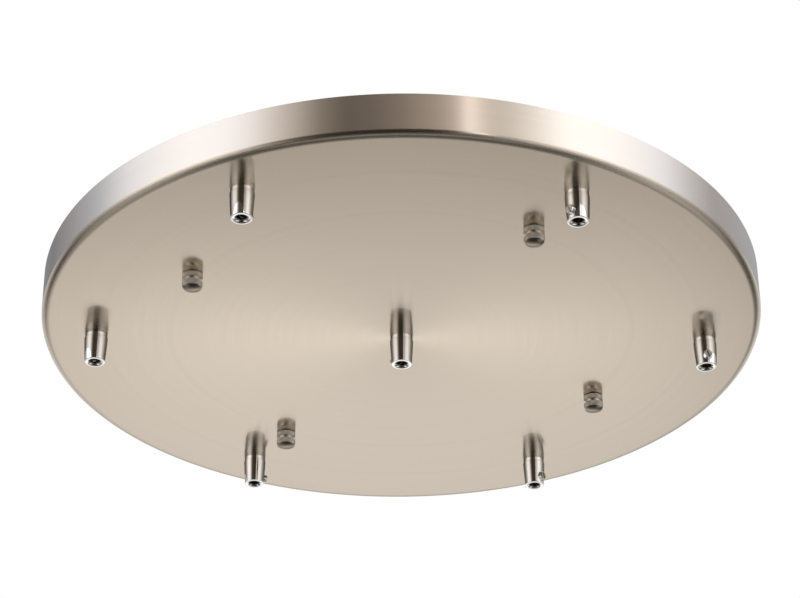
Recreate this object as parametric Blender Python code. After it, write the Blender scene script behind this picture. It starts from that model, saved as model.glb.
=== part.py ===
"""Round ceiling canopy for seven pendant lights.

A shallow pan hangs under the ceiling from a cross-shaped bracket. Four knurled cap nuts on the
bracket's studs hold it up. Seven cord grips stand through the pan's face, each with a side clamp
screw, and each is held inside the pan by a toothed washer and a hexagon nut.

Frame: the origin is the centre of the bracket's top face, in the ceiling plane. +Z points up,
+X and +Y run along the bracket's arms. Lengths are in metres.
"""

import math

import bmesh
import bpy
from mathutils import Matrix, Vector

MM = 0.001

# Canopy pan
canopy_diameter = 457.0 * MM
canopy_height = 27.5 * MM
sheet_thickness = 1.2 * MM
bend_radius = 3.0 * MM  # outside radius between the face and the rim
pan_segments = 96
bend_steps = 3

# Layout on the pan's face
outer_grip_count = 6
grip_edge_distance = 34.0 * MM  # rim to the centres of the outer grips
first_grip_angle = 30.0  # degrees from +X
stud_count = 4
stud_edge_distance = 78.3 * MM  # rim to the centres of the studs

# Gaps between separate pieces
seat_gap = 0.3 * MM  # between a piece and the face that it is tightened against
thread_gap = 0.3 * MM  # around a screw in its thread
hole_gap = 0.35 * MM  # around a screw or stem in a plain hole

# Cord grip: a short bevelled foot against the face, then a body that narrows to its tip
grip_foot_diameter = 14.4 * MM
grip_foot_height = 2.2 * MM
grip_body_diameter = 15.0 * MM
grip_tip_diameter = 13.0 * MM
grip_height = 18.8 * MM
grip_edge_break = 0.4 * MM
grip_taper_power = 1.6  # 1 is a straight cone, more keeps the body full for longer
cord_bore_diameter = 6.2 * MM
cord_mouth_diameter = 8.6 * MM  # of the 45 degree countersink at the tip
throat_depth = 3.0 * MM  # from the seat down to where the bore widens
stem_diameter = 9.8 * MM
stem_bore_diameter = 7.2 * MM
stem_spare = 1.8 * MM  # stem left standing above its nut
grip_segments = 16
taper_steps = 4

# Clamp screw in the side of each grip: headless, slotted, backed out as in the photograph
clamp_screw_diameter = 5.6 * MM
clamp_screw_length = 4.6 * MM
clamp_screw_proud = 1.8 * MM
clamp_screw_height = 5.0 * MM  # above the grip's tip
clamp_screw_chamfer = 0.4 * MM
driver_slot_width = 1.0 * MM
driver_slot_depth = 1.1 * MM
driver_slot_slant = 20.0  # degrees from upright
# Direction of each grip's clamp screw, degrees from +X; the last is the centre grip's
clamp_screw_turns = (-74.0, -12.0, 78.0, 28.0, 200.0, -117.0, 98.0)

# Washer and nut that hold each grip inside the pan
washer_diameter = 16.5 * MM
washer_thickness = 0.7 * MM
washer_tooth_height = 1.1 * MM
washer_tooth_count = 8
grip_nut_across_flats = 14.0 * MM
grip_nut_thickness = 3.0 * MM
nut_corner_chamfer = 0.5 * MM

# Cross-shaped bracket
bracket_thickness = 2.0 * MM
arm_width = 22.0 * MM
inner_corner_radius = 6.0 * MM
joggle_run = 9.0 * MM
joggle_drop = 7.0 * MM
box_slot_width = 6.0 * MM
box_slot_start = 30.0 * MM  # from the bracket's centre
box_slot_length = 17.0 * MM
slot_to_bend = 7.0 * MM
arc_steps = 6

# Studs: pan-head screws through the arms, locked by a hexagon nut
stud_diameter = 4.2 * MM
stud_head_diameter = 7.6 * MM
stud_head_height = 2.4 * MM
stud_head_band = 1.3 * MM  # straight side of the head, under its sloping shoulder
stud_head_top_diameter = 5.4 * MM
stud_end_chamfer = 0.4 * MM
stud_nut_across_flats = 8.7 * MM
stud_nut_thickness = 3.2 * MM
stud_end_gap = 0.5 * MM  # between the stud's end and the bottom of the cap nut's bore
stud_segments = 12

# Knurled cap nut
cap_nut_diameter = 12.6 * MM
cap_nut_height = 9.3 * MM  # without its crown
cap_nut_crown = 0.8 * MM
crown_steps = 3
cap_nut_bore_depth = 8.2 * MM
knurl_depth = 0.4 * MM
knurl_tooth_count = 16
knurl_groove_width = 1.7 * MM
knurl_groove_depth = 0.9 * MM
knurl_end_break = 0.5 * MM

# Ground screw, driven up into the bracket; its end stays under the ceiling
ground_screw_diameter = 3.5 * MM
ground_screw_end_gap = 0.3 * MM
ground_head_across_flats = 7.0 * MM
ground_head_thickness = 2.6 * MM
ground_screw_distance = 32.0 * MM  # from the bracket's centre, along +Y

hole_segments = 16

# Places that follow from the sizes above
canopy_radius = canopy_diameter / 2
face_z = -canopy_height
grip_circle_radius = canopy_radius - grip_edge_distance
stud_circle_radius = canopy_radius - stud_edge_distance
box_slot_end = box_slot_start + box_slot_length
pad_reach = box_slot_end + slot_to_bend  # centre of the bracket to the first bend
arm_top_z = -joggle_drop
arm_bottom_z = arm_top_z - bracket_thickness
grip_tip_z = -seat_gap - grip_height  # this and the next are above the outside of the face too
clamp_screw_z = grip_tip_z + clamp_screw_height
washer_z = sheet_thickness + seat_gap  # these three are above the outside of the face
grip_nut_z = washer_z + washer_thickness + seat_gap
stem_length = grip_nut_z + grip_nut_thickness + stem_spare


def clear_scene():
    for obj in list(bpy.data.objects):
        bpy.data.objects.remove(obj)


def metal(name, colour, roughness, metallic=1.0):
    material = bpy.data.materials.new(name)
    material.use_nodes = True
    shader = material.node_tree.nodes["Principled BSDF"]
    shader.inputs["Base Color"].default_value = (*colour, 1.0)
    shader.inputs["Roughness"].default_value = roughness
    shader.inputs["Metallic"].default_value = metallic
    material.diffuse_color = (*colour, 1.0)
    return material


def link(obj):
    bpy.context.scene.collection.objects.link(obj)
    return obj


def object_from(name, bm):
    """A linked object from a bmesh, with its faces pointing out."""
    bmesh.ops.remove_doubles(bm, verts=bm.verts, dist=0.001 * MM)
    bmesh.ops.recalc_face_normals(bm, faces=bm.faces)
    mesh = bpy.data.meshes.new(name)
    bm.to_mesh(mesh)
    bm.free()
    return link(bpy.data.objects.new(name, mesh))


def arc(centre, radius, start, end, steps):
    """Points (x, y) along an arc, both ends included; angles in degrees."""
    points = []
    for step in range(steps + 1):
        angle = math.radians(start + (end - start) * step / steps)
        points.append((centre[0] + radius * math.cos(angle), centre[1] + radius * math.sin(angle)))
    return points


def turned(name, profile, segments, bored=False):
    """A solid turned about Z from (radius, z) points. A bored one's profile closes on itself."""
    bm = bmesh.new()
    verts = [bm.verts.new((radius, 0, z)) for radius, z in profile]
    pairs = list(zip(verts, verts[1:]))
    if bored:
        pairs.append((verts[-1], verts[0]))
    edges = [bm.edges.new(pair) for pair in pairs]
    bmesh.ops.spin(
        bm,
        geom=verts + edges,
        cent=(0, 0, 0),
        axis=(0, 0, 1),
        angle=math.tau,
        steps=segments,
    )
    bmesh.ops.remove_doubles(bm, verts=bm.verts, dist=0.001 * MM)
    if not bored:
        bmesh.ops.holes_fill(bm, edges=[edge for edge in bm.edges if edge.is_boundary], sides=0)
    return object_from(name, bm)


def cylinder(name, radius, low, high, segments, place=(0, 0)):
    """A plain cylinder along Z, between two heights."""
    solid = turned(name, [(radius, low), (radius, high)], segments)
    solid.data.transform(Matrix.Translation((*place, 0)))
    return solid


def prism(name, outline, low, high):
    """An upright prism on a closed outline of (x, y) points."""
    bm = bmesh.new()
    base = bm.faces.new([bm.verts.new((x, y, low)) for x, y in outline])
    raised = bmesh.ops.extrude_face_region(bm, geom=[base])
    moved = [item for item in raised["geom"] if isinstance(item, bmesh.types.BMVert)]
    bmesh.ops.translate(bm, verts=moved, vec=(0, 0, high - low))
    return object_from(name, bm)


def joined(name, solids):
    """One object from several closed solids that don't touch, for use as a cutter."""
    bm = bmesh.new()
    for solid in solids:
        bm.from_mesh(solid.data)
        bpy.data.objects.remove(solid)
    return object_from(name, bm)


def combine(solid, other, operation):
    """Applies a Boolean of another solid to this one, and removes the other."""
    modifier = solid.modifiers.new(operation.title(), "BOOLEAN")
    modifier.operation = operation
    modifier.solver = "EXACT"
    modifier.object = other
    apply_modifiers(solid)
    bpy.data.objects.remove(other)
    return solid


def apply_modifiers(solid):
    bpy.context.view_layer.update()
    graph = bpy.context.evaluated_depsgraph_get()
    finished = bpy.data.meshes.new_from_object(solid.evaluated_get(graph))
    solid.modifiers.clear()
    solid.data = finished


def shade(solid, material, sharp_angle=35.0):
    """Smooth round faces, crisp edges, one material."""
    solid.data.materials.clear()
    solid.data.materials.append(material)
    solid.data.shade_smooth()
    solid.data.set_sharp_from_angle(angle=math.radians(sharp_angle))
    return solid


def place_copy(name, pattern, location, turn=0.0, parent=None):
    """A piece of its own that shares the pattern's mesh; turn is in degrees about Z."""
    piece = link(bpy.data.objects.new(name, pattern.data))
    piece.location = location
    piece.rotation_euler = (0, 0, math.radians(turn))
    piece.parent = parent
    return piece


def empty(name, location, turn=0.0):
    marker = link(bpy.data.objects.new(name, None))
    marker.location = location
    marker.rotation_euler = (0, 0, math.radians(turn))
    return marker


def on_circle(radius, angle):
    return Vector((radius * math.cos(math.radians(angle)), radius * math.sin(math.radians(angle)), 0))


def grip_places():
    """Centres of the grips in the plan: the outer ring, then the middle one."""
    step = 360.0 / outer_grip_count
    ring = [on_circle(grip_circle_radius, first_grip_angle + step * k) for k in range(outer_grip_count)]
    return ring + [Vector((0, 0, 0))]


def stud_places():
    return [on_circle(stud_circle_radius, 360.0 / stud_count * k) for k in range(stud_count)]


# Canopy pan: one drawn sheet, with its holes punched


def make_pan():
    inside_radius = max(bend_radius - sheet_thickness, 0.2 * sheet_thickness)
    corner = (canopy_radius - bend_radius, face_z + bend_radius)
    inner_corner = (
        canopy_radius - sheet_thickness - inside_radius,
        face_z + sheet_thickness + inside_radius,
    )
    outside = arc(corner, bend_radius, -90, 0, bend_steps)
    inside = arc(inner_corner, inside_radius, 0, -90, bend_steps)
    rim = [(canopy_radius, 0), (canopy_radius - sheet_thickness, 0)]
    pan = turned("canopy_pan", outside + rim + inside, pan_segments)
    low, high = face_z - sheet_thickness, face_z + 2 * sheet_thickness
    stem_hole = stem_diameter / 2 + hole_gap
    stud_hole = stud_diameter / 2 + hole_gap
    punches = [cylinder("punch", stem_hole, low, high, hole_segments, at.xy) for at in grip_places()]
    punches += [cylinder("punch", stud_hole, low, high, stud_segments, at.xy) for at in stud_places()]
    return combine(pan, joined("punches", punches), "DIFFERENCE")


# Cord grip: a turned body with a hollow stem, its clamp screw, washer and nut.
# Each is drawn about its own seat, the centre of its hole on the outside of the face.


def grip_radius_at(z):
    """Outside radius of a grip between its foot and its tip; z is above the face's outside."""
    body, tip = grip_body_diameter / 2, grip_tip_diameter / 2
    foot_z = -seat_gap - grip_foot_height
    share = (foot_z - z) / (foot_z - grip_tip_z)
    return body + (tip - body) * share**grip_taper_power


def make_grip_body():
    shoulder = -seat_gap
    stem, stem_bore, bore = stem_diameter / 2, stem_bore_diameter / 2, cord_bore_diameter / 2
    mouth, tip_radius, edge = cord_mouth_diameter / 2, grip_tip_diameter / 2, grip_edge_break
    foot_z, edge_z = shoulder - grip_foot_height, grip_tip_z + edge
    heights = [foot_z + (edge_z - foot_z) * step / taper_steps for step in range(taper_steps + 1)]
    profile = [(stem_bore, stem_length), (stem - edge, stem_length), (stem, stem_length - edge)]
    profile += [(stem, shoulder), (grip_foot_diameter / 2, shoulder)]
    profile += [(grip_radius_at(z), z) for z in heights]
    profile += [(tip_radius - edge, grip_tip_z), (mouth, grip_tip_z)]
    profile += [(bore, grip_tip_z + mouth - bore), (bore, shoulder - throat_depth)]
    profile += [(stem_bore, shoulder - throat_depth + stem_bore - bore)]
    body = turned("grip_body_pattern", profile, grip_segments, bored=True)
    hole_radius = clamp_screw_diameter / 2 + thread_gap
    hole = cylinder("screw_hole", hole_radius, 0, grip_body_diameter, stud_segments)
    return combine(body, lay_along_x(hole), "DIFFERENCE")


def lay_along_x(solid):
    """Turns a solid drawn up the Z axis to point along +X, at the clamp screw's height."""
    solid.data.transform(Matrix.Rotation(math.radians(90), 4, "Y"))
    solid.data.transform(Matrix.Translation((0, 0, clamp_screw_z)))
    return solid


def make_clamp_screw():
    """Points along +X, with its inner end nearest the grip's axis and its slot facing out."""
    outer_end = grip_radius_at(clamp_screw_z) + clamp_screw_proud
    inner_end = outer_end - clamp_screw_length
    radius, chamfer = clamp_screw_diameter / 2, clamp_screw_chamfer
    profile = [(radius - chamfer, inner_end), (radius, inner_end + chamfer)]
    profile += [(radius, outer_end - chamfer), (radius - chamfer, outer_end)]
    screw = turned("clamp_screw_pattern", profile, stud_segments)
    cut_driver_slot(screw, outer_end, clamp_screw_diameter, driver_slot_slant)
    return lay_along_x(screw)


def cut_driver_slot(screw, top, diameter, slant=0.0):
    """Cuts a straight slot across the end of a screw that points up."""
    half_width, half_length = driver_slot_width / 2, diameter
    outline = [
        (-half_length, -half_width),
        (half_length, -half_width),
        (half_length, half_width),
        (-half_length, half_width),
    ]
    cutter = prism("slot_cutter", outline, top - driver_slot_depth, top + driver_slot_depth)
    cutter.data.transform(Matrix.Rotation(math.radians(slant), 4, "Z"))
    return combine(screw, cutter, "DIFFERENCE")


def make_lock_washer():
    """A flat ring with teeth that point inwards to the stem."""
    tooth_tip = stem_diameter / 2 + hole_gap
    tooth_root = tooth_tip + washer_tooth_height
    bm = bmesh.new()
    count = 2 * washer_tooth_count
    inner, outer = [], []
    for k in range(count):
        angle = math.tau * k / count
        radius = tooth_tip if k % 2 else tooth_root
        inner.append(bm.verts.new((radius * math.cos(angle), radius * math.sin(angle), washer_z)))
        outer_radius = washer_diameter / 2
        outer.append(bm.verts.new((outer_radius * math.cos(angle), outer_radius * math.sin(angle), washer_z)))
    flat = []
    for k in range(count):
        after = (k + 1) % count
        flat.append(bm.faces.new((inner[k], outer[k], outer[after], inner[after])))
    raised = bmesh.ops.extrude_face_region(bm, geom=flat)
    moved = [item for item in raised["geom"] if isinstance(item, bmesh.types.BMVert)]
    bmesh.ops.translate(bm, verts=moved, vec=(0, 0, washer_thickness))
    return object_from("lock_washer_pattern", bm)


def make_hexagon(name, across_flats, low, high, bore_radius=0.0):
    """A hexagon nut or head, with its corners turned off at both ends."""
    flat_radius = across_flats / 2
    corner_radius = flat_radius / math.cos(math.radians(30))
    hexagon = prism(name, arc((0, 0), corner_radius, 0, 300, 5), low, high)
    drop = nut_corner_chamfer
    wide = corner_radius + drop
    profile = [(flat_radius, high), (wide, high - drop), (wide, low + drop), (flat_radius, low)]
    combine(hexagon, turned("corner_envelope", profile, hole_segments), "INTERSECT")
    if bore_radius:
        bore = cylinder("bore", bore_radius, low - drop, high + drop, hole_segments)
        combine(hexagon, bore, "DIFFERENCE")
    return hexagon


def make_grip_nut():
    bore = stem_diameter / 2 + thread_gap
    top = grip_nut_z + grip_nut_thickness
    return make_hexagon("grip_nut_pattern", grip_nut_across_flats, grip_nut_z, top, bore)


# Bracket: one pressed cross, whose arms step down from the ceiling


def make_bracket():
    """The upper skin of the cross is drawn face by face, then given its thickness downwards."""
    bm = bmesh.new()
    half = arm_width / 2
    corner = half + inner_corner_radius
    middle = []
    ends = []
    for quarter in range(4):
        turn = Matrix.Rotation(math.radians(90 * quarter), 4, "Z")
        right = bm.verts.new(turn @ Vector((pad_reach, -half, 0)))
        left = bm.verts.new(turn @ Vector((pad_reach, half, 0)))
        fillet = arc((corner, corner), inner_corner_radius, -90, -180, arc_steps // 2)
        middle += [right, left] + [bm.verts.new(turn @ Vector((x, y, 0))) for x, y in fillet]
        ends.append((turn, right, left))
    bm.faces.new(middle)
    for turn, right, left in ends:
        step_right = bm.verts.new(turn @ Vector((pad_reach + joggle_run, -half, arm_top_z)))
        step_left = bm.verts.new(turn @ Vector((pad_reach + joggle_run, half, arm_top_z)))
        bm.faces.new((right, step_right, step_left, left))
        round_end = arc((stud_circle_radius, 0), half, -90, 90, 2 * arc_steps)
        end_verts = [bm.verts.new(turn @ Vector((x, y, arm_top_z))) for x, y in round_end]
        bm.faces.new([step_right] + end_verts + [step_left])
    bracket = object_from("mounting_bracket", bm)
    if bracket.data.polygons[0].normal.z < 0:
        bracket.data.flip_normals()
    thicken = bracket.modifiers.new("Thickness", "SOLIDIFY")
    thicken.thickness = bracket_thickness
    thicken.offset = -1
    thicken.use_even_offset = True
    apply_modifiers(bracket)
    return combine(bracket, bracket_punches(), "DIFFERENCE")


def bracket_punches():
    low, high = arm_bottom_z - bracket_thickness, bracket_thickness
    punches = []
    half = box_slot_width / 2
    for side in (0, 180):
        near = arc((box_slot_start + half, 0), half, 90, 270, arc_steps)
        far = arc((box_slot_end - half, 0), half, -90, 90, arc_steps)
        slot = prism("punch", near + far, low, high)
        slot.data.transform(Matrix.Rotation(math.radians(side), 4, "Z"))
        punches.append(slot)
    stud_hole = stud_diameter / 2 + hole_gap
    punches += [cylinder("punch", stud_hole, low, high, stud_segments, at.xy) for at in stud_places()]
    ground_hole = ground_screw_diameter / 2 + thread_gap
    punches.append(
        cylinder("punch", ground_hole, low, high, stud_segments, (0, ground_screw_distance))
    )
    return joined("bracket_punches", punches)


# Studs and their nuts, drawn about the Z axis at their real heights


def cap_nut_top():
    return face_z - seat_gap


def make_stud():
    head_bottom = arm_top_z + seat_gap
    head_top = head_bottom + stud_head_height
    end = cap_nut_top() - cap_nut_bore_depth + stud_end_gap
    head, shank = stud_head_diameter / 2, stud_diameter / 2
    profile = [(stud_head_top_diameter / 2, head_top), (head, head_bottom + stud_head_band)]
    profile += [(head, head_bottom), (shank, head_bottom)]
    profile += [(shank, end + stud_end_chamfer), (shank - stud_end_chamfer, end)]
    stud = turned("stud_pattern", profile, stud_segments)
    return cut_driver_slot(stud, head_top, stud_head_diameter)


def make_stud_nut():
    top = arm_bottom_z - seat_gap
    bore = stud_diameter / 2 + thread_gap
    return make_hexagon("stud_nut_pattern", stud_nut_across_flats, top - stud_nut_thickness, top, bore)


def make_cap_nut():
    """Two knurled bands with a plain groove between them, a blind bore and a low crown."""
    top = cap_nut_top()
    bottom = top - cap_nut_height
    radius = cap_nut_diameter / 2
    valley = radius - knurl_depth
    plain = radius - knurl_end_break
    neck = radius - knurl_groove_depth
    groove_top = top - (cap_nut_height - knurl_groove_width) / 2
    groove_bottom = groove_top - knurl_groove_width
    step = knurl_end_break
    rings = [
        (top, plain, plain),
        (top - step, radius, valley),
        (groove_top, radius, valley),
        (groove_top - step / 2, neck, neck),
        (groove_bottom + step / 2, neck, neck),
        (groove_bottom, radius, valley),
        (bottom + step, radius, valley),
        (bottom, plain, plain),
    ]
    crown_radius = (plain**2 + cap_nut_crown**2) / (2 * cap_nut_crown)
    for step_in in range(crown_steps - 1, 0, -1):
        reach = plain * step_in / crown_steps
        rise = crown_radius - math.sqrt(crown_radius**2 - reach**2)
        rings.append((bottom - cap_nut_crown + rise, reach, reach))
    count = 2 * knurl_tooth_count
    bm = bmesh.new()
    loops = []
    for z, peak, dip in rings:
        loop = []
        for k in range(count):
            angle = math.tau * k / count
            reach = dip if k % 2 else peak
            loop.append(bm.verts.new((reach * math.cos(angle), reach * math.sin(angle), z)))
        loops.append(loop)
    for upper, lower in zip(loops, loops[1:]):
        for k in range(count):
            after = (k + 1) % count
            bm.faces.new((upper[k], upper[after], lower[after], lower[k]))
    bm.faces.new(loops[0])
    bm.faces.new(loops[-1])
    nut = object_from("cap_nut_pattern", bm)
    bore_radius = stud_diameter / 2 + thread_gap
    bore = cylinder("bore", bore_radius, top - cap_nut_bore_depth, top + seat_gap, stud_segments)
    return combine(nut, bore, "DIFFERENCE")


def make_ground_screw():
    head_top = -bracket_thickness - seat_gap
    head_bottom = head_top - ground_head_thickness
    head = make_hexagon("ground_screw", ground_head_across_flats, head_bottom, head_top)
    middle_of_head = (head_top + head_bottom) / 2
    radius = ground_screw_diameter / 2
    shank = cylinder("shank", radius, middle_of_head, -ground_screw_end_gap, stud_segments)
    screw = combine(head, shank, "UNION")
    screw.location = (0, ground_screw_distance, 0)
    return screw


def remove_patterns(patterns):
    for pattern in patterns:
        bpy.data.objects.remove(pattern)


def build():
    clear_scene()
    satin_nickel = metal("satin_nickel", (0.66, 0.60, 0.52), 0.28)
    polished_nickel = metal("polished_nickel", (0.80, 0.76, 0.70), 0.10)
    knurled_nickel = metal("knurled_nickel", (0.55, 0.51, 0.45), 0.30)
    zinc = metal("zinc_plate", (0.62, 0.63, 0.64), 0.35)
    spring_steel = metal("spring_steel", (0.36, 0.36, 0.37), 0.40)
    green = metal("green_screw", (0.05, 0.30, 0.12), 0.35)

    shade(make_pan(), satin_nickel)
    shade(make_bracket(), zinc)
    shade(make_ground_screw(), green)

    grip_patterns = {
        "cord_grip": shade(make_grip_body(), polished_nickel),
        "clamp_screw": shade(make_clamp_screw(), polished_nickel),
        "lock_washer": shade(make_lock_washer(), spring_steel),
        "grip_nut": shade(make_grip_nut(), zinc),
    }
    for number, (place, turn) in enumerate(zip(grip_places(), clamp_screw_turns), start=1):
        seat = empty(f"grip_seat_{number}", place + Vector((0, 0, face_z)), turn)
        for kind, pattern in grip_patterns.items():
            place_copy(f"{kind}_{number}", pattern, (0, 0, 0), parent=seat)
    remove_patterns(grip_patterns.values())

    stud_patterns = {
        "stud": shade(make_stud(), zinc),
        "stud_nut": shade(make_stud_nut(), zinc),
        "cap_nut": shade(make_cap_nut(), knurled_nickel),
    }
    for number, place in enumerate(stud_places(), start=1):
        turn = 360.0 / stud_count * (number - 1)
        for kind, pattern in stud_patterns.items():
            place_copy(f"{kind}_{number}", pattern, place, turn)
    remove_patterns(stud_patterns.values())


build()
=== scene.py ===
"""Looks of a round ceiling canopy for seven pendant lights, in brushed nickel.

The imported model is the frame. Each fitting is turned, threaded or knurled here at full detail and
stands where its plain solid stands. Lengths are in metres, +Z points up to the ceiling.
"""

import math

import bmesh
import bpy
from mathutils import Matrix, Vector


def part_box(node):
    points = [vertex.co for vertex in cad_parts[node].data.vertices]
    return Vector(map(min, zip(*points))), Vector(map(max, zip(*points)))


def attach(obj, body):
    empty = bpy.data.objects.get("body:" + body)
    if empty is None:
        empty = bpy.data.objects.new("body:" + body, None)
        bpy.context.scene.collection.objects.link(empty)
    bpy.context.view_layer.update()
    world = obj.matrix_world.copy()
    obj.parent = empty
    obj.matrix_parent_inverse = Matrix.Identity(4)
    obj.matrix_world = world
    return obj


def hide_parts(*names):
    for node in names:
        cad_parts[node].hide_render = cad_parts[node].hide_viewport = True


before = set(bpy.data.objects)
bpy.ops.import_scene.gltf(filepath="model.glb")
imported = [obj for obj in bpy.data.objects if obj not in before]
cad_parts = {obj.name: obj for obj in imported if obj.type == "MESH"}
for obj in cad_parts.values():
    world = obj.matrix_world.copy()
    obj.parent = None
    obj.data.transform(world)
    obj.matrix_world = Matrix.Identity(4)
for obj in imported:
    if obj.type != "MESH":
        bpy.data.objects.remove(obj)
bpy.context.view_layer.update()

MM = 0.001

# Sizes read from the frame
pan_low, pan_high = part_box("canopy_pan")
canopy_radius = pan_high.x
face_z = pan_low.z
cap_nut_end_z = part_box("cap_nut_1")[0].z
washers = [f"lock_washer_{k}" for k in range(1, 8)]  # one on the stem of each cord grip
studs = [f"stud_{k}" for k in range(1, 5)]
quarter_turns = (0, 90, 180, 270)  # of the arms and their studs, in degrees from +X

# Canopy pan
sheet = 1.2 * MM
bend_height = 3.0 * MM
bend_run = 5.0 * MM  # the face turns gently into the bend
pan_segments = 360
bend_steps = 16

# Clearances, as the solids have them
seat_gap = 0.3 * MM
shoulder_gap = 0.03 * MM
thread_gap = 0.3 * MM
hole_gap = 0.35 * MM

# Cord grip, measured from the outside of the face
grip_foot_radius = 7.2 * MM
grip_foot_height = 2.2 * MM
grip_body_radius = 7.5 * MM
grip_tip_radius = 6.5 * MM
grip_taper_power = 1.25
grip_edge = 0.4 * MM
foot_taper = 0.12 * MM
foot_groove = 0.55 * MM
mouth_radius = 4.3 * MM
cord_bore_radius = 3.1 * MM
throat_depth = 3.0 * MM
stem_radius = 4.9 * MM
stem_bore_radius = 3.6 * MM
stem_thread = (1.0 * MM, 0.5 * MM)  # pitch and depth, as of the other threads
grip_segments = 72
grip_body_rings = 24
stem_rings = 64

# Clamp screw in the side of a grip; its direction in degrees from +X
clamp_screw_radius = 2.8 * MM
clamp_screw_turns = (-74.0, -12.0, 78.0, 28.0, 200.0, -117.0, 98.0)
clamp_thread = (0.7 * MM, 0.3 * MM)
clamp_screw_chamfer = 0.5 * MM
driver_slot_width = 1.0 * MM
driver_slot_depth = 1.1 * MM
driver_slot_slant = 20.0

# Nuts and lock washer on the stem of a grip
grip_nut_width = 14.0 * MM
washer_teeth = 10
washer_steps = 8  # round each tooth
tooth_length = 1.3 * MM
tooth_start = 0.18  # a tooth's part of its steps
tooth_end = 0.82
tooth_twist = 0.45  # of the washer's height, over one tooth
washer_sheet = 0.72  # the ring's part of the washer's height

# Cap nut on each stud
stud_radius = 2.1 * MM
cap_nut_radius = 6.3 * MM
cap_nut_bore_depth = 8.2 * MM
cap_nut_crown = 1.2 * MM
knurl_count = 26
knurl_depth = 0.24 * MM
knurl_rings = 22
crown_rings = 10
groove_width = 1.7 * MM
groove_depth = 0.9 * MM
groove_slope = 0.25 * MM
end_break = 0.35 * MM
stud_thread = (0.794 * MM, 0.35 * MM)
stud_nut_width = 8.7 * MM

# Mounting bracket and its ground screw
bracket_thickness = 2.0 * MM
arm_width = 22.0 * MM
arm_bend_radius = 3.0 * MM
inner_corner_radius = 6.0 * MM
pad_reach = 54.0 * MM  # from the middle to the first bend of an arm
joggle_run = 9.0 * MM
box_slot_width = 6.0 * MM
box_slot_start = 30.0 * MM
box_slot_end = 47.0 * MM
ground_screw_radius = 1.75 * MM
ground_thread = (0.6 * MM, 0.3 * MM)
ground_head_height = 2.6 * MM

# Camera: the view in the photograph, worked out from the canopy's outline
photo_width_px = 800
focal_length_px = 2465
camera_distance = 1.577  # to the middle of the face
camera_below = math.radians(30.25)
camera_pitch = math.radians(31.17)
camera_yaw = math.radians(-0.03)
camera_roll = math.radians(-0.49)
view_turn = math.radians(-31.92)  # the photograph's right-hand direction, from +X


def new_object(name, data):
    thing = bpy.data.objects.new(name, data)
    bpy.context.scene.collection.objects.link(thing)
    return thing


def make_camera():
    """Places the camera below the face, looking up past the near rim."""
    data = bpy.data.cameras.new("camera")
    data.lens = focal_length_px / photo_width_px * data.sensor_width
    data.clip_start = 0.05
    data.clip_end = 60
    camera = new_object("camera", data)
    right = Vector((math.cos(camera_yaw), -math.sin(camera_yaw), 0))
    ahead = Vector((
        math.sin(camera_yaw) * math.cos(camera_pitch),
        math.cos(camera_yaw) * math.cos(camera_pitch),
        math.sin(camera_pitch),
    ))
    up = right.cross(ahead)
    tilted_right = math.cos(camera_roll) * right + math.sin(camera_roll) * up
    tilted_up = math.cos(camera_roll) * up - math.sin(camera_roll) * right
    place = camera_distance * Vector((0, -math.cos(camera_below), -math.sin(camera_below)))
    pose = Matrix((tilted_right, tilted_up, -ahead)).transposed().to_4x4()
    pose.translation = place
    to_face = Matrix.Translation((0, 0, face_z))
    camera.matrix_world = to_face @ Matrix.Rotation(view_turn, 4, "Z") @ pose
    bpy.context.scene.camera = camera


# Node building blocks


def feed(tree, socket, value):
    """Links a socket to an input, or sets the input to a plain value."""
    if isinstance(value, bpy.types.NodeSocket):
        tree.links.new(value, socket)
    elif value is not None:
        socket.default_value = value


def feed_all(tree, node, values):
    for name, value in values.items():
        feed(tree, node.inputs[name], value)


def math_node(tree, operation, first, second=None):
    node = tree.nodes.new("ShaderNodeMath")
    node.operation = operation
    for socket, value in zip(node.inputs, (first, second)):
        feed(tree, socket, value)
    return node.outputs[0]


def plus(tree, first, second):
    return math_node(tree, "ADD", first, second)


def minus(tree, first, second):
    return math_node(tree, "SUBTRACT", first, second)


def times(tree, first, second):
    return math_node(tree, "MULTIPLY", first, second)


def over(tree, first, second):
    return math_node(tree, "DIVIDE", first, second)


def blend(tree, first, second, share):
    """Adds two values, with a share of the first and the rest of the second."""
    return plus(tree, times(tree, first, share), times(tree, second, 1 - share))


def vector_node(tree, operation, first, second=None, scale=None):
    node = tree.nodes.new("ShaderNodeVectorMath")
    node.operation = operation
    for socket, value in zip(node.inputs, (first, second)):
        feed(tree, socket, value)
    if scale is not None:
        feed(tree, node.inputs["Scale"], scale)
    return node.outputs[0]


def split(tree, vector):
    node = tree.nodes.new("ShaderNodeSeparateXYZ")
    tree.links.new(vector, node.inputs[0])
    return node.outputs


def join(tree, x, y, z):
    node = tree.nodes.new("ShaderNodeCombineXYZ")
    for socket, value in zip(node.inputs, (x, y, z)):
        feed(tree, socket, value)
    return node.outputs[0]


def mapped(tree, factor, low, high, from_low=0.0, from_high=1.0, smooth=False):
    """Maps one range onto another, and stops at both ends."""
    node = tree.nodes.new("ShaderNodeMapRange")
    node.interpolation_type = "SMOOTHSTEP" if smooth else "LINEAR"
    feed_all(tree, node, {"Value": factor, "From Min": from_low, "From Max": from_high})
    feed_all(tree, node, {"To Min": low, "To Max": high})
    return node.outputs["Result"]


def noise(tree, vector, scale, detail=3.0, roughness=0.55):
    node = tree.nodes.new("ShaderNodeTexNoise")
    feed_all(tree, node, {"Vector": vector, "Scale": scale, "Detail": detail, "Roughness": roughness})
    return node.outputs["Fac"]


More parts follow.
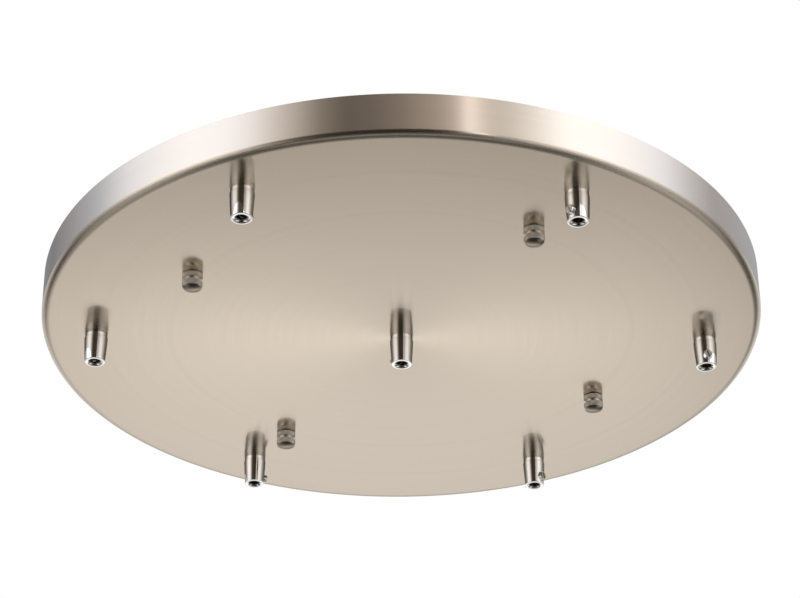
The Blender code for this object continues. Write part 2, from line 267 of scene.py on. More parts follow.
def ramp(tree, factor, stops):
    """A colour ramp from (position, number or colour) stops, level past the first and the last."""
    node = tree.nodes.new("ShaderNodeValToRGB")
    tree.links.new(factor, node.inputs[0])
    elements = node.color_ramp.elements
    while len(elements) < len(stops):
        elements.new(0.5)
    for element, (position, value) in zip(elements, stops):
        element.position = position
        colour = value if isinstance(value, tuple) else (value,) * 3
        element.color = (*colour, 1.0)
    return node.outputs[0]


def mixed(tree, factor, first, second):
    """Blends two colours by a factor."""
    node = tree.nodes.new("ShaderNodeMix")
    node.data_type = "RGBA"
    feed(tree, node.inputs["Factor"], factor)
    sockets = [socket for socket in node.inputs if socket.type == "RGBA"]
    for socket, value in zip(sockets, (first, second)):
        feed(tree, socket, (*value, 1.0) if isinstance(value, tuple) else value)
    return [socket for socket in node.outputs if socket.type == "RGBA"][0]


def dress(tree, shader, colour, rough, height, strength, distance):
    """Gives a shader its colour, its roughness and a fine bump."""
    node = tree.nodes.new("ShaderNodeBump")
    feed_all(tree, node, {"Strength": strength, "Distance": distance, "Height": height})
    feed_all(tree, shader, {"Base Color": colour, "Roughness": rough, "Normal": node.outputs[0]})


def dress_by_tone(tree, shader, tone, colours, low_rough, high_rough, strength, distance):
    """Colour, roughness and bump that all follow one tone."""
    rough = mapped(tree, tone, low_rough, high_rough, 0.3, 0.7)
    dress(tree, shader, ramp(tree, tone, colours), rough, tone, strength, distance)


def object_point(tree):
    return tree.nodes.new("ShaderNodeTexCoord").outputs["Object"]


def attribute(tree, name):
    node = tree.nodes.new("ShaderNodeAttribute")
    node.attribute_name = name
    return node.outputs["Fac"]


# Finishes


def new_finish(name, metallic=1.0):
    material = bpy.data.materials.new(name)
    material.use_nodes = True
    tree = material.node_tree
    shader = tree.nodes["Principled BSDF"]
    shader.inputs["Metallic"].default_value = metallic
    return material, tree, shader


def from_axis(tree, point):
    """Distance from the canopy's axis, the unit direction round it, and the height."""
    x, y, z = split(tree, point)
    flat = join(tree, x, y, 0.0)
    length = tree.nodes.new("ShaderNodeVectorMath")
    length.operation = "LENGTH"
    tree.links.new(flat, length.inputs[0])
    outward = vector_node(tree, "NORMALIZE", flat)
    return length.outputs["Value"], outward, z


def brush_lines(tree, radius, outward, z, pitch, spread):
    """Noise that is fine across circular brush lines and long along them."""
    across = over(tree, minus(tree, radius, z), pitch)
    x, y, _ = split(tree, outward)
    along = join(tree, across, times(tree, x, spread), times(tree, y, spread))
    return noise(tree, along, 1.0, roughness=0.6)


satin_light = (0.642, 0.542, 0.422)
satin_dark = (0.590, 0.496, 0.386)
brush_pitch = 0.3 * MM
brush_band_pitch = 6.0 * MM
mark_radii = (0.645, 0.83)  # two faint rings on the face, as shares of its radius
mark_half_width = 3.5 * MM
mark_depth = 0.13
bend_roughness = 0.27
inside_roughness = 0.42
inside_light = (0.58, 0.53, 0.46)
inside_dark = (0.50, 0.45, 0.39)


def ring_mark(tree, radius, middle):
    """1 on a faint ring of the face, falling to 0 beside it."""
    off = math_node(tree, "ABSOLUTE", minus(tree, radius, middle))
    return mapped(tree, off, 1.0, 0.0, 0.0, mark_half_width, smooth=True)


def satin_nickel(tree, shader):
    """Lacquered nickel, brushed in circles round the middle of the canopy; plainer inside."""
    point = object_point(tree)
    radius, outward, z = from_axis(tree, point)
    fine = brush_lines(tree, radius, outward, z, brush_pitch, 1.5)
    broad = brush_lines(tree, radius, outward, z, brush_band_pitch, 0.8)
    inner_mark, outer_mark = [ring_mark(tree, radius, share * canopy_radius) for share in mark_radii]
    marks = times(tree, plus(tree, inner_mark, outer_mark), mark_depth)
    tone = minus(tree, blend(tree, fine, broad, 0.65), marks)
    outside_colour = ramp(tree, tone, [(0.3, satin_dark), (0.7, satin_light)])
    inner_wall = mapped(tree, radius, 1.0, 0.0, canopy_radius - 0.9 * sheet, canopy_radius - 0.8 * sheet)
    above_face = mapped(tree, z, 0.0, 1.0, face_z + 0.6 * sheet, face_z + 0.9 * sheet)
    inside = times(tree, inner_wall, above_face)
    blotch = noise(tree, point, 40.0, detail=5.0)
    inside_colour = ramp(tree, blotch, [(0.3, inside_dark), (0.7, inside_light)])
    colour = mixed(tree, inside, outside_colour, inside_colour)
    outside_rough = mapped(tree, tone, 0.19, 0.21, 0.3, 0.7)
    bend_start = canopy_radius - bend_run
    near_rim = mapped(tree, radius, 0.0, 1.0, bend_start - 0.2 * bend_run, bend_start + 0.3 * bend_run)
    near_face = mapped(tree, z, 1.0, 0.0, face_z + 0.5 * bend_height, face_z + 1.2 * bend_height)
    outside_rough = mapped(tree, times(tree, near_rim, near_face), outside_rough, bend_roughness)
    rough = mapped(tree, inside, outside_rough, inside_roughness)
    dress(tree, shader, colour, rough, fine, 0.06, 0.02 * MM)
    feed_all(tree, shader, {"Anisotropic": 0.8, "Coat Weight": 1.0, "Coat Roughness": 0.04, "Coat IOR": 1.5})
    normal = tree.nodes.new("ShaderNodeNewGeometry").outputs["Normal"]
    along = vector_node(tree, "CROSS_PRODUCT", (0.0, 0.0, 1.0), outward)
    across = vector_node(tree, "CROSS_PRODUCT", normal, along)
    tree.links.new(vector_node(tree, "NORMALIZE", across), shader.inputs["Tangent"])


def polished_nickel(tree, shader):
    """Turned and polished, with faint lathe lines; rougher where it is only drilled, and painted dark there
    as shade inside the bore.
    """
    point = object_point(tree)
    _, _, z = split(tree, point)
    lathe_lines = join(tree, 0.0, 0.0, over(tree, z, 0.25 * MM))
    lathe = noise(tree, lathe_lines, 1.0, detail=2.0)
    smudge = noise(tree, point, 260.0, detail=4.0)
    tone = blend(tree, lathe, smudge, 0.4)
    polished = ramp(tree, tone, [(0.35, (0.93, 0.905, 0.865)), (0.65, (0.98, 0.955, 0.915))])
    drilled_and_painted_shade = attribute(tree, "drilled_and_painted_shade")
    # painted shade: the bore's walls are coloured dark brown as the shade inside the hole; only their higher
    # roughness is the drilled finish
    colour = mixed(tree, drilled_and_painted_shade, polished, (0.26, 0.23, 0.18))
    rough = mapped(tree, drilled_and_painted_shade, mapped(tree, tone, 0.05, 0.12, 0.35, 0.7), 0.34)
    dress(tree, shader, colour, rough, lathe, 0.05, 0.01 * MM)


def knurled_nickel(tree, shader):
    """Knurled nickel, with painted shade in the knurl's valleys and on the domed end."""
    point = object_point(tree)
    cut = attribute(tree, "knurl_cut")
    grain = noise(tree, point, 900.0, detail=4.0)
    bright = ramp(tree, grain, [(0.3, (0.80, 0.73, 0.63)), (0.7, (0.92, 0.85, 0.74))])
    _, _, z = split(tree, point)
    # painted shade: the domed end of the nut is coloured dark brown
    crown_shade = mapped(tree, z, 1.0, 0.0, cap_nut_end_z + 0.8 * MM, cap_nut_end_z + 1.4 * MM)
    plain = mixed(tree, crown_shade, bright, (0.34, 0.29, 0.22))
    # painted shade: darker colour in the knurl's valleys, where shade falls
    colour = mixed(tree, cut, plain, (0.38, 0.34, 0.28))
    dress(tree, shader, colour, mapped(tree, grain, 0.16, 0.26, 0.3, 0.7), grain, 0.1, 0.02 * MM)


def zinc_plate(tree, shader):
    """Bright zinc: bluish, with soft patches and rolling lines."""
    point = object_point(tree)
    x, y, z = split(tree, point)
    lines = join(tree, over(tree, x, 4 * MM), over(tree, y, 0.25 * MM), z)
    rolling = noise(tree, lines, 1.0)
    patches = noise(tree, point, 120.0, detail=5.0, roughness=0.65)
    tone = blend(tree, rolling, patches, 0.35)
    colours = [(0.3, (0.50, 0.53, 0.55)), (0.55, (0.62, 0.64, 0.65)), (0.75, (0.70, 0.69, 0.62))]
    dress_by_tone(tree, shader, tone, colours, 0.26, 0.44, 0.15, 0.03 * MM)


def spring_steel(tree, shader):
    """Hardened steel, oiled: dark, with a brown cast in places."""
    oil = noise(tree, object_point(tree), 400.0, detail=5.0)
    colours = [(0.3, (0.20, 0.20, 0.21)), (0.6, (0.33, 0.32, 0.31)), (0.8, (0.38, 0.33, 0.27))]
    dress_by_tone(tree, shader, oil, colours, 0.3, 0.5, 0.2, 0.02 * MM)


def green_screw(tree, shader):
    """Zinc dyed green, worn towards bare zinc in specks."""
    wear = noise(tree, object_point(tree), 1200.0, detail=5.0, roughness=0.7)
    colours = [(0.3, (0.03, 0.22, 0.08)), (0.62, (0.06, 0.34, 0.14)), (0.74, (0.42, 0.50, 0.42))]
    dress_by_tone(tree, shader, wear, colours, 0.28, 0.45, 0.15, 0.02 * MM)


def make_finishes(*builders):
    """A material for each finish, named after the function that builds it."""
    materials = {}
    for build in builders:
        material, tree, shader = new_finish(build.__name__)
        build(tree, shader)
        materials[build.__name__] = material
    return materials


finish = make_finishes(satin_nickel, polished_nickel, knurled_nickel, zinc_plate, spring_steel, green_screw)


# Mesh building blocks


def arc(centre, radius, start, end, steps):
    """Points (x, y) along an arc, both ends included; angles in degrees."""
    angles = [math.radians(start + (end - start) * step / steps) for step in range(steps + 1)]
    return [(centre[0] + radius * math.cos(a), centre[1] + radius * math.sin(a)) for a in angles]


def even_line(start, end, steps):
    """Evenly spaced points between two points, without the first."""
    shares = [step / steps for step in range(1, steps + 1)]
    return [(start[0] + (end[0] - start[0]) * s, start[1] + (end[1] - start[1]) * s) for s in shares]


def object_from(name, bm):
    bmesh.ops.remove_doubles(bm, verts=bm.verts, dist=0.0005 * MM)
    bmesh.ops.recalc_face_normals(bm, faces=bm.faces)
    mesh = bpy.data.meshes.new(name)
    bm.to_mesh(mesh)
    bm.free()
    return new_object(name, mesh)


def ring_of_points(bm, profile, angle):
    """The (radius, z) points of a profile, turned about Z by an angle."""
    c, s = math.cos(angle), math.sin(angle)
    return [bm.verts.new((radius * c, radius * s, z)) for radius, z in profile]


def skin_rings(bm, rings, closed):
    """Faces from each ring of points to the next; a closed ring goes back to its first point."""
    count = len(rings[0])
    for here, there in zip(rings, rings[1:] + rings[:1]):
        for i in range(count if closed else count - 1):
            j = (i + 1) % count
            bm.faces.new((here[i], there[i], there[j], here[j]))


def turned(name, profile, segments, bored=False):
    """A closed solid turned about Z; a bored one's profile closes on itself."""
    bm = bmesh.new()
    rings = [ring_of_points(bm, profile, math.tau * step / segments) for step in range(segments)]
    skin_rings(bm, rings, bored)
    if not bored:
        bm.faces.new([ring[0] for ring in rings])
        bm.faces.new([ring[-1] for ring in rings])
    return object_from(name, bm)


def prism(name, outline, low, high):
    """An upright prism on a closed outline of (x, y) points."""
    bm = bmesh.new()
    base = bm.faces.new([bm.verts.new((x, y, low)) for x, y in outline])
    raised = bmesh.ops.extrude_face_region(bm, geom=[base])
    moved = [item for item in raised["geom"] if isinstance(item, bmesh.types.BMVert)]
    bmesh.ops.translate(bm, verts=moved, vec=(0, 0, high - low))
    return object_from(name, bm)


def joined(name, solids):
    bm = bmesh.new()
    for solid in solids:
        bm.from_mesh(solid.data)
        bpy.data.objects.remove(solid)
    return object_from(name, bm)


def apply_modifiers(solid):
    bpy.context.view_layer.update()
    graph = bpy.context.evaluated_depsgraph_get()
    finished = bpy.data.meshes.new_from_object(solid.evaluated_get(graph))
    solid.modifiers.clear()
    solid.data = finished


def combine(solid, other, operation="DIFFERENCE"):
    """Applies a Boolean of another solid to this one, and removes the other."""
    modifier = solid.modifiers.new(operation.title(), "BOOLEAN")
    modifier.operation = operation
    modifier.solver = "EXACT"
    modifier.object = other
    apply_modifiers(solid)
    bpy.data.objects.remove(other)
    return solid


def bevelled(solid, width, segments=2, angle=30.0):
    """Rounds the sharp edges of a solid."""
    modifier = solid.modifiers.new("Edge break", "BEVEL")
    modifier.width = width
    modifier.segments = segments
    modifier.limit_method = "ANGLE"
    modifier.angle_limit = math.radians(angle)
    apply_modifiers(solid)
    return solid


def smooth(solid, angle=30.0):
    solid.data.shade_smooth()
    solid.data.set_sharp_from_angle(angle=math.radians(angle))
    return solid


def stand_for(piece, body, slot, *nodes):
    """Gives a finished piece its finish and its body, and hides the solids that it stands for."""
    piece.data.materials.clear()
    piece.data.materials.append(finish[slot])
    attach(piece, body)
    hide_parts(*nodes)
    return piece


def turn_about(degrees, axis="Z"):
    return Matrix.Rotation(math.radians(degrees), 4, axis)


def placed_copy(pattern, name, transform):
    """A mesh of its own from a pattern, moved and turned into place."""
    mesh = pattern.data.copy()
    mesh.transform(transform)
    return new_object(name, mesh)


def centre_of(node):
    low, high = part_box(node)
    return (low + high) / 2


def seats_at(nodes, height, turns):
    """Places over the centres of some solids, each at the same height and with a turn of its own."""
    places = [Matrix.Translation((*centre_of(node).xy, height)) for node in nodes]
    return [place @ turn_about(turn) for place, turn in zip(places, turns)]


def place_copies(seats, patterns):
    """Stands copies of each pattern in for its numbered solids, on the body named or else on its own."""
    for number, seat in enumerate(seats, start=1):
        for pattern, name, node, body, slot in patterns:
            piece = placed_copy(pattern, f"{name}_{number}", seat)
            solid = f"{node}_{number}"
            stand_for(piece, body or solid, slot, solid)
    for pattern, *_ in patterns:
        bpy.data.objects.remove(pattern)


# Geometry trees for threads and knurls


def start_tree(name, sizes):
    """A geometry tree with a mesh and named sizes going in, and its shared measures."""
    tree = bpy.data.node_groups.new(name, "GeometryNodeTree")
    tree.interface.new_socket("Geometry", in_out="INPUT", socket_type="NodeSocketGeometry")
    for size in sizes:
        tree.interface.new_socket(size, in_out="INPUT", socket_type="NodeSocketFloat")
    tree.interface.new_socket("Finish", in_out="INPUT", socket_type="NodeSocketMaterial")
    tree.interface.new_socket("Geometry", in_out="OUTPUT", socket_type="NodeSocketGeometry")
    inputs = tree.nodes.new("NodeGroupInput").outputs
    position = tree.nodes.new("GeometryNodeInputPosition").outputs[0]
    x, y, z = split(tree, position)
    radius = math_node(tree, "SQRT", plus(tree, times(tree, x, x), times(tree, y, y)))
    turn = over(tree, math_node(tree, "ARCTAN2", y, x), math.tau)
    outward = vector_node(tree, "NORMALIZE", join(tree, x, y, 0.0))
    return tree, inputs, radius, turn, outward, z


def finish_tree(tree, inputs, outward, share):
    """Moves the surface inwards by a share of the depth, keeps the share, and sets the finish."""
    cut = times(tree, share, inputs["Depth"])
    offset = vector_node(tree, "SCALE", outward, scale=times(tree, cut, -1.0))
    store = tree.nodes.new("GeometryNodeStoreNamedAttribute")
    store.data_type = "FLOAT"
    store.domain = "POINT"
    # knurled_nickel reads this kept share as the mask of its painted shade in the knurl's valleys
    store.inputs["Name"].default_value = "knurl_cut"
    feed(tree, [s for s in store.inputs if s.name == "Value" and s.enabled][0], share)
    move = tree.nodes.new("GeometryNodeSetPosition")
    tree.links.new(offset, move.inputs["Offset"])
    real = tree.nodes.new("GeometryNodeRealizeInstances")
    set_finish = tree.nodes.new("GeometryNodeSetMaterial")
    tree.links.new(inputs["Finish"], set_finish.inputs["Material"])
    geometry = inputs["Geometry"]
    for node in (store, move, real, set_finish):
        tree.links.new(geometry, node.inputs["Geometry"])
        geometry = node.outputs["Geometry"]
    tree.links.new(geometry, tree.nodes.new("NodeGroupOutput").inputs["Geometry"])
    return tree


def zigzag(tree, phase):
    """0 to 1 and back over each whole turn of the phase."""
    return times(tree, math_node(tree, "PINGPONG", phase, 0.5), 2.0)


def between(tree, value, low, high, fade):
    """1 between two heights, fading to 0 at both."""
    rise = mapped(tree, value, 0.0, 1.0, low, plus(tree, low, fade))
    fall = mapped(tree, value, 1.0, 0.0, minus(tree, high, fade), high)
    return times(tree, rise, fall)


def on_cylinder(tree, radius, plain_radius):
    """1 on the plain cylinder that a cut starts from, 0 elsewhere."""
    off = math_node(tree, "ABSOLUTE", minus(tree, radius, plain_radius))
    return math_node(tree, "LESS_THAN", off, 0.02 * MM)


def thread_tree():
    """Cuts a helical thread into a plain shank about Z."""
    sizes = ("Pitch", "Depth", "Start", "End", "Fade", "Shank Radius")
    tree, inputs, radius, turn, outward, z = start_tree("Thread", sizes)
    phase = minus(tree, over(tree, z, inputs["Pitch"]), turn)
    valley = mapped(tree, zigzag(tree, phase), 0.0, 1.0, 0.15, 0.85)
    length = between(tree, z, inputs["Start"], inputs["End"], inputs["Fade"])
    reach = times(tree, length, on_cylinder(tree, radius, inputs["Shank Radius"]))
    return finish_tree(tree, inputs, outward, times(tree, valley, reach))


def knurl_tree():
    """Cuts a diamond knurl into a cylinder about Z, in two bands beside a plain groove."""
    sizes = (
        "Diamonds Round", "Diamond Height", "Depth", "Bottom", "Groove Bottom", "Groove Top", "Top",
        "Fade", "Knurl Radius",
    )
    tree, inputs, radius, turn, outward, z = start_tree("Knurl", sizes)
    round_it = times(tree, turn, inputs["Diamonds Round"])
    up_it = over(tree, z, inputs["Diamond Height"])
    first = zigzag(tree, plus(tree, round_it, up_it))
    second = zigzag(tree, minus(tree, round_it, up_it))
    valley = minus(tree, 1.0, math_node(tree, "MINIMUM", first, second))
    valley = mapped(tree, valley, 0.0, 1.0, 0.4, 1.0)
    lower = between(tree, z, inputs["Bottom"], inputs["Groove Bottom"], inputs["Fade"])
    upper = between(tree, z, inputs["Groove Top"], inputs["Top"], inputs["Fade"])
    reach = times(tree, plus(tree, lower, upper), on_cylinder(tree, radius, inputs["Knurl Radius"]))
    return finish_tree(tree, inputs, outward, times(tree, valley, reach))


def cut_by(tree, solid, slot, sizes):
    """Runs a geometry tree on a solid with the given sizes, and keeps the result as its mesh."""
    modifier = solid.modifiers.new(tree.name, "NODES")
    modifier.node_group = tree
    for item in tree.interface.items_tree:
        if item.in_out == "INPUT" and item.name in sizes:
            modifier[item.identifier] = float(sizes[item.name])
        if item.in_out == "INPUT" and item.name == "Finish":
            modifier[item.identifier] = finish[slot]
    apply_modifiers(solid)


def cut_thread(solid, slot, radius, pitch, depth, start, end, fade):
    sizes = {"Pitch": pitch, "Depth": depth, "Start": start, "End": end, "Fade": fade}
    cut_by(thread, solid, slot, {**sizes, "Shank Radius": radius})


thread = thread_tree()
knurl = knurl_tree()


# Canopy pan: one drawn sheet, with its holes punched


def punch(node, radius, low, high, segments):
    """A round cutter through the centre of a solid."""
    cutter = turned("punch", [(radius, low), (radius, high)], segments)
    cutter.data.transform(Matrix.Translation((*centre_of(node).xy, 0)))
    return cutter


def make_pan():
    """Turns the sheet, its face easing into the bend up to the rim, and punches the holes."""
    edge = 0.15 * MM
    support = 0.6 * MM  # plain metal that keeps the bend's shading off the face and the rim
    corner = (canopy_radius - bend_run, face_z + bend_height)
    outside, inner = [(corner[0] - support, face_z)], [(corner[0] - support, face_z + sheet)]
    for step in range(bend_steps + 1):
        turn = math.radians(90 * step / bend_steps)
        tilt = math.atan2(math.sin(turn) * bend_height, math.cos(turn) * bend_run)
        x, z = corner[0] + bend_run * math.sin(turn), corner[1] - bend_height * math.cos(turn)
        outside.append((x, z))
        inner.append((x - sheet * math.sin(tilt), z + sheet * math.cos(tilt)))
    inner.reverse()
    rim_top = pan_high.z
    wall = [(canopy_radius, corner[1] + support), (canopy_radius, rim_top - edge)]
    wall += [(canopy_radius - edge, rim_top), (canopy_radius - sheet + edge, rim_top)]
    wall += [(canopy_radius - sheet, rim_top - edge), (canopy_radius - sheet, corner[1] + support)]
    pan = turned("canopy_pan_shell", outside + wall + inner, pan_segments)
    low, high = face_z - sheet, face_z + 2 * sheet
    stem_hole, stud_hole = stem_radius + hole_gap, stud_radius + hole_gap
    punches = [punch(washer, stem_hole, low, high, 48) for washer in washers]
    punches += [punch(stud, stud_hole, low, high, 32) for stud in studs]
    combine(pan, joined("punches", punches))
    return stand_for(smooth(pan), "pan_body", "satin_nickel", "canopy_pan")


# Cord grips, clamp screws, washers and nuts, drawn about the centre of a hole in the face


def grip_radius_at(z, tip):
    foot = -seat_gap - grip_foot_height
    share = (foot - z) / (foot - tip)
    return grip_body_radius + (grip_tip_radius - grip_body_radius) * share**grip_taper_power


def make_grip_pattern(tip, top):
    """A cord grip with its threaded stem; tip and top are heights from the outside of the face."""
    shoulder = -shoulder_gap
    foot = -seat_gap - grip_foot_height
    thread_start = 1.0 * MM
    stem = [(stem_bore_radius, top), (stem_radius - grip_edge, top), (stem_radius, top - grip_edge)]
    stem += even_line((stem_radius, top - grip_edge), (stem_radius, thread_start), stem_rings)
    stem += [(stem_radius, shoulder)]
    foot_edge = [(grip_foot_radius - 0.05 * MM, shoulder), (grip_foot_radius, shoulder - 0.05 * MM)]
    foot_edge += [(grip_foot_radius - foot_taper, foot + 0.3 * MM)]
    groove = [
        (grip_body_radius - foot_groove, foot + 0.2 * MM),
        (grip_body_radius - foot_groove, foot),
        (grip_body_radius, foot - 0.1 * MM),
    ]
    end = tip + grip_edge
    lowest_groove = foot - 0.1 * MM
    body = []
    for step in range(1, grip_body_rings + 1):
        z = lowest_groove + (end - lowest_groove) * step / grip_body_rings
        body.append((grip_radius_at(z, tip), z))
    round_radius = body[-1][0]
    rounded = arc((round_radius - grip_edge, end), grip_edge, 0, -90, 5)[1:]
    mouth = [(mouth_radius + 0.1 * MM, tip), (mouth_radius, tip + 0.05 * MM)]
    mouth += even_line(mouth[-1], (cord_bore_radius, tip + mouth_radius - cord_bore_radius), 3)
    throat = shoulder - throat_depth
    inside = [(cord_bore_radius, throat), (stem_bore_radius, throat + stem_bore_radius - cord_bore_radius)]
    profile = stem + foot_edge + groove + body + rounded + mouth + inside
    grip = turned("grip_pattern", profile, grip_segments, bored=True)
    cut_thread(
        grip, "polished_nickel", stem_radius, *stem_thread,
        start=thread_start, end=top - 0.5 * grip_edge, fade=0.6 * MM,
    )
    return grip


def screw_hole(axis_z, outer):
    """The side hole for the clamp screw, with its small countersink, pointing along +X."""
    radius = clamp_screw_radius + thread_gap
    sink = 0.45 * MM
    surface = outer - 0.1 * MM
    profile = [(radius, 0), (radius, surface - sink), (radius + 2 * sink, surface + sink)]
    profile += [(radius + 2 * sink, surface + 4 * sink)]
    hole = turned("screw_hole", profile, 40)
    return lay_along_x(hole, axis_z)


def mark_drilled_and_painted_shade(grip):
    """Gives the walls of the cord hole, inside its countersink, an attribute for their rougher finish and
    their painted shade.
    """
    points = grip.data.vertices
    marks = grip.data.attributes.new("drilled_and_painted_shade", "FLOAT", "POINT")
    for point, mark in zip(points, marks.data):
        mark.value = 1.0 if math.hypot(point.co.x, point.co.y) < stem_bore_radius + 0.1 * MM else 0.0


def lay_along_x(solid, axis_z):
    solid.data.transform(turn_about(90, "Y"))
    solid.data.transform(Matrix.Translation((0, 0, axis_z)))
    return solid


def make_clamp_screw_pattern(axis_z, inner, outer):
    """Headless screw along +X, threaded, with a driver's slot across its outer end."""
    radius, chamfer = clamp_screw_radius, clamp_screw_chamfer
    cup = 1.2 * MM
    profile = [(radius - chamfer - cup, inner + 0.5 * MM), (radius - chamfer, inner)]
    profile += [(radius, inner + chamfer)]
    profile += even_line((radius, inner + chamfer), (radius, outer - chamfer), 36)
    profile += [(radius - chamfer, outer)]
    screw = turned("clamp_screw_pattern", profile, 40)
    cut_thread(
        screw, "polished_nickel", radius, *clamp_thread,
        start=inner + 0.2 * MM, end=outer - 0.2 * MM, fade=0.3 * MM,
    )
    cut_driver_slot(screw, outer, 2 * radius, driver_slot_slant)
    return lay_along_x(screw, axis_z)


def cut_driver_slot(screw, top, reach, slant=0.0):
    half = driver_slot_width / 2
    outline = [(-reach, -half), (reach, -half), (reach, half), (-reach, half)]
    cutter = prism("slot_cutter", outline, top - driver_slot_depth, top + driver_slot_depth)
    cutter.data.transform(turn_about(slant))
    return combine(screw, cutter)


def make_washer_pattern(low, high, radius):
    """A flat ring whose inner teeth are twisted to bite."""
    tooth_tip = stem_radius + hole_gap
    tooth_root = tooth_tip + tooth_length
    steps = washer_teeth * washer_steps
    middle = (low + high) / 2
    half = (high - low) / 2 * washer_sheet
    bm = bmesh.new()
    rings = []
    for k in range(steps):
        share = (k % washer_steps) / washer_steps
        on_tooth = tooth_start < share < tooth_end
        reach = tooth_tip if on_tooth else tooth_root
        twist = (share - 0.5) * tooth_twist * (high - low) if on_tooth else 0.0
        profile = [
            (reach, middle + twist - half), (tooth_root, middle - half), (radius, middle - half),
            (radius, middle + half), (tooth_root, middle + half), (reach, middle + twist + half),
        ]
        rings.append(ring_of_points(bm, profile, math.tau * k / steps))
    skin_rings(bm, rings, True)
    return object_from("washer_pattern", bm)


def make_hexagon(name, across_flats, low, high, bore_radius=0.0, chamfer=0.5 * MM):
    """A hexagon nut or head, its corners turned off and its bore countersunk at both ends."""
    flat = across_flats / 2
    corner = flat / math.cos(math.radians(30))
    # Taller than the envelope, so that no faces of the two lie in one plane
    hexagon = prism(name, arc((0, 0), corner, 0, 300, 5), low - chamfer, high + chamfer)
    wide = corner + chamfer
    top = flat - 0.15 * MM
    envelope = [(top, high), (wide, high - chamfer), (wide, low + chamfer), (top, low)]
    combine(hexagon, turned("corner_envelope", envelope, 72), "INTERSECT")
    if bore_radius:
        sink = 0.4 * MM
        mouth = bore_radius + 2 * sink
        bore = [(mouth, low - sink), (bore_radius, low + sink)]
        bore += [(bore_radius, high - sink), (mouth, high + sink)]
        combine(hexagon, turned("bore", bore, 48))
    return bevelled(hexagon, 0.08 * MM, 2)


def make_grips():
    low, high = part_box("cord_grip_7")
    tip, top = low.z - face_z, high.z - face_z
    screw_low, screw_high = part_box("clamp_screw_7")
    axis_z = (screw_low.z + screw_high.z) / 2 - face_z
    surface = grip_radius_at(axis_z, tip)
    outer = surface + 1.8 * MM
    inner = outer - 4.6 * MM
    grip = combine(make_grip_pattern(tip, top), screw_hole(axis_z, surface))
    mark_drilled_and_painted_shade(grip)
    smooth(grip, 28.0)
    screw = smooth(make_clamp_screw_pattern(axis_z, inner, outer))
    washer_low, washer_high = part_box("lock_washer_7")
    washer = smooth(make_washer_pattern(washer_low.z - face_z, washer_high.z - face_z, washer_high.x))
    nut_low, nut_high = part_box("grip_nut_7")
    nut_low, nut_high = nut_low.z - face_z, nut_high.z - face_z
    nut = smooth(make_hexagon("grip_nut", grip_nut_width, nut_low, nut_high, stem_radius + thread_gap))
    patterns = (
        (grip, "cord_grip_turned", "cord_grip", "pan_body", "polished_nickel"),
        (screw, "clamp_screw_slotted", "clamp_screw", None, "polished_nickel"),
        (washer, "lock_washer_toothed", "lock_washer", "pan_body", "spring_steel"),
        (nut, "grip_nut_hex", "grip_nut", "pan_body", "zinc_plate"),
    )
    place_copies(seats_at(washers, face_z, clamp_screw_turns), patterns)


# Cap nuts, studs and their nuts, drawn about the Z axis at their real heights


def make_cap_nut_pattern(low, high):
    """A knurled nut with a plain groove round its middle and a domed end, screwed on from below."""
    radius, step = cap_nut_radius, end_break
    bottom = low + cap_nut_crown
    groove_top = high - (high - bottom - groove_width) / 2
    groove_bottom = groove_top - groove_width
    neck = radius - groove_depth
    bore, sink = stud_radius + thread_gap, 0.4 * MM
    profile = [(bore, high - cap_nut_bore_depth), (bore, high - sink), (bore + sink, high)]
    profile += [(radius - step, high), (radius, high - step)]
    profile += even_line((radius, high - step), (radius, groove_top), knurl_rings)
    profile += [(neck, groove_top - groove_slope), (neck, groove_bottom + groove_slope)]
    profile += [(radius, groove_bottom)]
    profile += even_line((radius, groove_bottom), (radius, bottom + step), knurl_rings)
    profile += arc((radius - step, bottom + step), step, 0, -60, 4)[1:]
    edge_radius, edge_z = profile[-1]
    rise = edge_z - low
    sphere = (edge_radius**2 + rise**2) / (2 * rise)
    for ring in range(crown_rings - 1, 0, -1):
        reach = edge_radius * ring / crown_rings
        profile.append((reach, low + sphere - math.sqrt(sphere**2 - reach**2)))
    nut = turned("cap_nut_pattern", profile, knurl_count * 6)
    cut_by(knurl, nut, "knurled_nickel", {
        "Diamonds Round": knurl_count, "Diamond Height": math.pi * 2 * radius / knurl_count,
        "Depth": knurl_depth, "Knurl Radius": radius, "Fade": 0.12 * MM,
        "Bottom": bottom + 0.5 * step, "Groove Bottom": groove_bottom + 0.1 * MM,
        "Groove Top": groove_top - 0.1 * MM, "Top": high - 0.8 * step,
    })
    return smooth(nut, 24.0)


def make_stud_pattern(low, high):
    """Pan-head screw that points down, slotted on top, threaded for all of its shank."""
    head_radius = 3.8 * MM
    head_bottom = high - 2.4 * MM
    profile = [(2.0 * MM, high), (2.9 * MM, high - 0.12 * MM), (3.5 * MM, high - 0.55 * MM)]
    profile += [(head_radius, high - 1.15 * MM), (head_radius, head_bottom + 0.15 * MM)]
    profile += [(head_radius - 0.15 * MM, head_bottom), (stud_radius, head_bottom)]
    profile += even_line((stud_radius, head_bottom), (stud_radius, low + 0.4 * MM), 240)
    profile += [(stud_radius - 0.4 * MM, low)]
    stud = turned("stud_pattern", profile, 32)
    cut_thread(
        stud, "zinc_plate", stud_radius, *stud_thread,
        start=low + 0.1 * MM, end=head_bottom - 0.6 * MM, fade=0.4 * MM,
    )
    cut_driver_slot(stud, high, 2 * head_radius)
    return smooth(stud)


def make_studs():
    low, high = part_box("cap_nut_1")
    nut = make_cap_nut_pattern(low.z, high.z)
    low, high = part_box("stud_1")
    stud = make_stud_pattern(low.z, high.z)
    low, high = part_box("stud_nut_1")
    lock_nut = smooth(make_hexagon("stud_nut", stud_nut_width, low.z, high.z, stud_radius + thread_gap))
    patterns = (
        (nut, "cap_nut_knurled", "cap_nut", None, "knurled_nickel"),
        (stud, "stud_threaded", "stud", "bracket_body", "zinc_plate"),
        (lock_nut, "stud_nut_hex", "stud_nut", "bracket_body", "zinc_plate"),
    )
    place_copies(seats_at(studs, 0, quarter_turns), patterns)


# Mounting bracket, pressed and punched, and the ground screw in it


